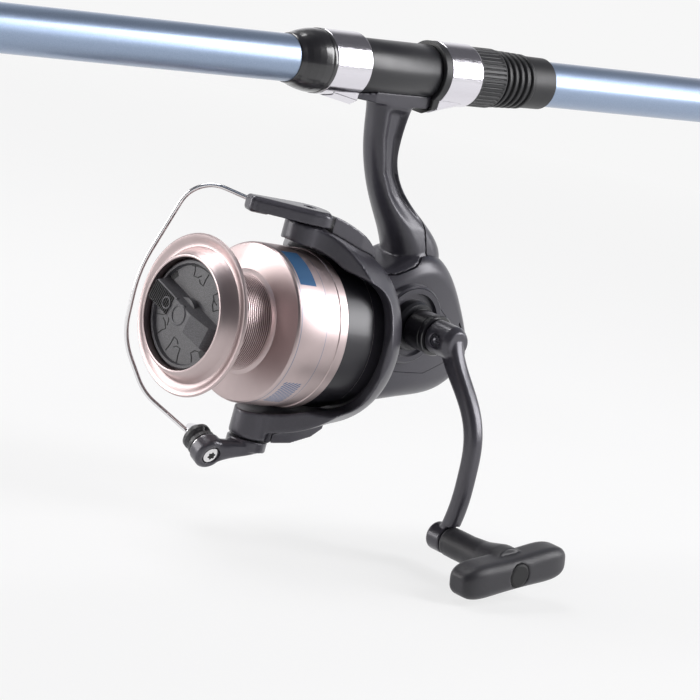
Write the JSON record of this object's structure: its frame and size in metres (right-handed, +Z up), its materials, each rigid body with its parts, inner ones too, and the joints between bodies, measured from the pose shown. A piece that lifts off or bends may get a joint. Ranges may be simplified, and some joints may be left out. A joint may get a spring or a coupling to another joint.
{
  "type": "fishing rod and reel",
  "caption": "Telescopic surf rod, closed, with a large spinning reel hanging under it: folding bail, spool with front drag, gearbox and long curved crank with a T-shaped knob.",
  "frame": {"origin": "on the rod's axis at the reel seat, over the reel's stem, where the hand holds the rod", "axes": "+X along the rod to its tip, +Y to the side of the crank, +Z up, away from the reel"},
  "size_m": [0.985, 0.1692, 0.2334],
  "materials": {
    "blank_blue": "gloss metallic light blue lacquer over a fibre blank",
    "gloss_black": "gloss black",
    "satin_black": "satin black",
    "rubber_black": "matt black",
    "hood_silver": "polished",
    "body_grey": "satin dark grey lacquer",
    "rotor_grey": "satin dark grey lacquer over a fibre-filled moulding",
    "arm_grey": "satin dark grey lacquer over machined metal",
    "spool_rose": "anodised pale rose champagne, turned",
    "knob_grey": "speckled dark grey",
    "steel": "ground",
    "bright": "polished",
    "brass": "machined",
    "zinc": "die cast, oiled",
    "felt": "greased felt",
    "ceramic": "polished ceramic"
  },
  "bodies": {
    "rod_and_body": {"butt_section": "blank_blue", "butt_cap": "rubber_black", "front_wrap": "gloss_black", "front_cone": "gloss_black", "fixed_hood": "hood_silver", "seat_barrel": "satin_black", "reel_body": "body_grey", "side_cover": "body_grey", "rear_cover": "body_grey", "crank_bush": "satin_black", "drive_bearings": "steel", "rotor_bearing": "steel", "reverse_clutch": "steel", "guide_rods": "steel"},
    "sliding_hood": {"moving_hood": "hood_silver", "hood_liner": "satin_black"},
    "hood_nut": {"lock_nut": "satin_black"},
    "section_2": {"rod_section_2": "blank_blue", "guide_frame_2": "steel", "guide_ring_2": "ceramic"},
    "section_3": {"rod_section_3": "blank_blue", "guide_frame_3": "steel", "guide_ring_3": "ceramic"},
    "section_4": {"rod_section_4": "blank_blue", "guide_frame_4": "steel", "guide_ring_4": "ceramic"},
    "section_5": {"rod_section_5": "blank_blue", "guide_frame_5": "steel", "guide_ring_5": "ceramic"},
    "crank": {"drive_shaft": "steel", "drive_gear": "zinc", "shaft_cover": "gloss_black", "crank_arm": "arm_grey", "crank_screw": "steel", "knob_post": "steel"},
    "knob": {"t_knob": "rubber_black", "knob_cap": "satin_black"},
    "stroke_gear": {"slow_gear": "zinc"},
    "rotor_assembly": {"rotor": "rotor_grey", "spring_cover": "rotor_grey", "arm_cover": "rotor_grey", "pinion_gear": "brass", "rotor_nut": "brass"},
    "shaft": {"main_shaft": "steel", "slider": "zinc", "spool_seat": "satin_black"},
    "spool_assembly": {"spool": "spool_rose", "drag_felts": "felt", "drag_plates": "steel", "click_wheel": "satin_black"},
    "drag_knob_assembly": {"drag_knob": "knob_grey", "drag_nut": "brass"},
    "bail": {"bail_lever": "rotor_grey", "bail_wire": "bright", "bail_pins": "steel", "roller_arm": "arm_grey", "roller_axle": "bright", "roller_screw": "bright"},
    "roller": {"line_roller": "satin_black"}
  },
  "joints": [
    {"name": "section_2_slide", "type": "slide", "parent": "rod_and_body", "child": "section_2", "axis": [1, 0, 0], "range_m": [0, 0.79]},
    {"name": "section_3_slide", "type": "slide", "parent": "section_2", "child": "section_3", "axis": [1, 0, 0], "range_m": [0, 0.79]},
    {"name": "section_4_slide", "type": "slide", "parent": "section_3", "child": "section_4", "axis": [1, 0, 0], "range_m": [0, 0.79]},
    {"name": "section_5_slide", "type": "slide", "parent": "section_4", "child": "section_5", "axis": [1, 0, 0], "range_m": [0, 0.79]},
    {"name": "hood_slide", "type": "slide", "parent": "rod_and_body", "child": "sliding_hood", "axis": [-1, 0, 0], "range_m": [0, 0.012]},
    {"name": "nut_turn", "type": "hinge", "parent": "sliding_hood", "child": "hood_nut", "pos_m": [-0.05, 0, 0], "axis": [1, 0, 0], "range_deg": [0, 2160]},
    {"name": "crank_turn", "type": "hinge", "parent": "rod_and_body", "child": "crank", "pos_m": [-0.01695, 0, -0.11686], "axis": [0, 1, 0], "continuous": true},
    {"name": "knob_turn", "type": "hinge", "parent": "crank", "child": "knob", "pos_m": [-0.02105, 0.1127, -0.20652], "axis": [0, 1, 0], "continuous": true},
    {"name": "rotor_turn", "type": "hinge", "parent": "rod_and_body", "child": "rotor_assembly", "pos_m": [0, 0, -0.1286], "axis": [0.9971, 0, 0.0764], "continuous": true},
    {"name": "stroke_gear_turn", "type": "hinge", "parent": "rod_and_body", "child": "stroke_gear", "pos_m": [-0.04188, 0, -0.13181], "axis": [0, 1, 0], "continuous": true},
    {"name": "shaft_stroke", "type": "slide", "parent": "rod_and_body", "child": "shaft", "axis": [0.9971, 0, 0.0764], "range_m": [-0.016, 0.004]},
    {"name": "spool_turn", "type": "hinge", "parent": "shaft", "child": "spool_assembly", "pos_m": [0.07977, 0, -0.12249], "axis": [0.9971, 0, 0.0764], "continuous": true},
    {"name": "drag_knob_turn", "type": "hinge", "parent": "shaft", "child": "drag_knob_assembly", "pos_m": [0.09971, 0, -0.12096], "axis": [0.9971, 0, 0.0764], "range_deg": [-360, 360]},
    {"name": "bail_flip", "type": "hinge", "parent": "rotor_assembly", "child": "bail", "pos_m": [0.04686, 0, -0.12501], "axis": [-0.0764, 0, 0.9971], "range_deg": [0, 110]},
    {"name": "line_roller_turn", "type": "hinge", "parent": "bail", "child": "roller", "pos_m": [0.0714, -0.0095, -0.18351], "axis": [-0.0274, -0.9336, 0.3573], "continuous": true}
  ],
  "couplings": [
    {"joint": "nut_turn", "follows": "hood_slide", "rad_per_m": 3141.6},
    {"joint": "rotor_turn", "follows": "crank_turn", "ratio": 4.9},
    {"joint": "stroke_gear_turn", "follows": "crank_turn", "ratio": -0.87097}
  ]
}
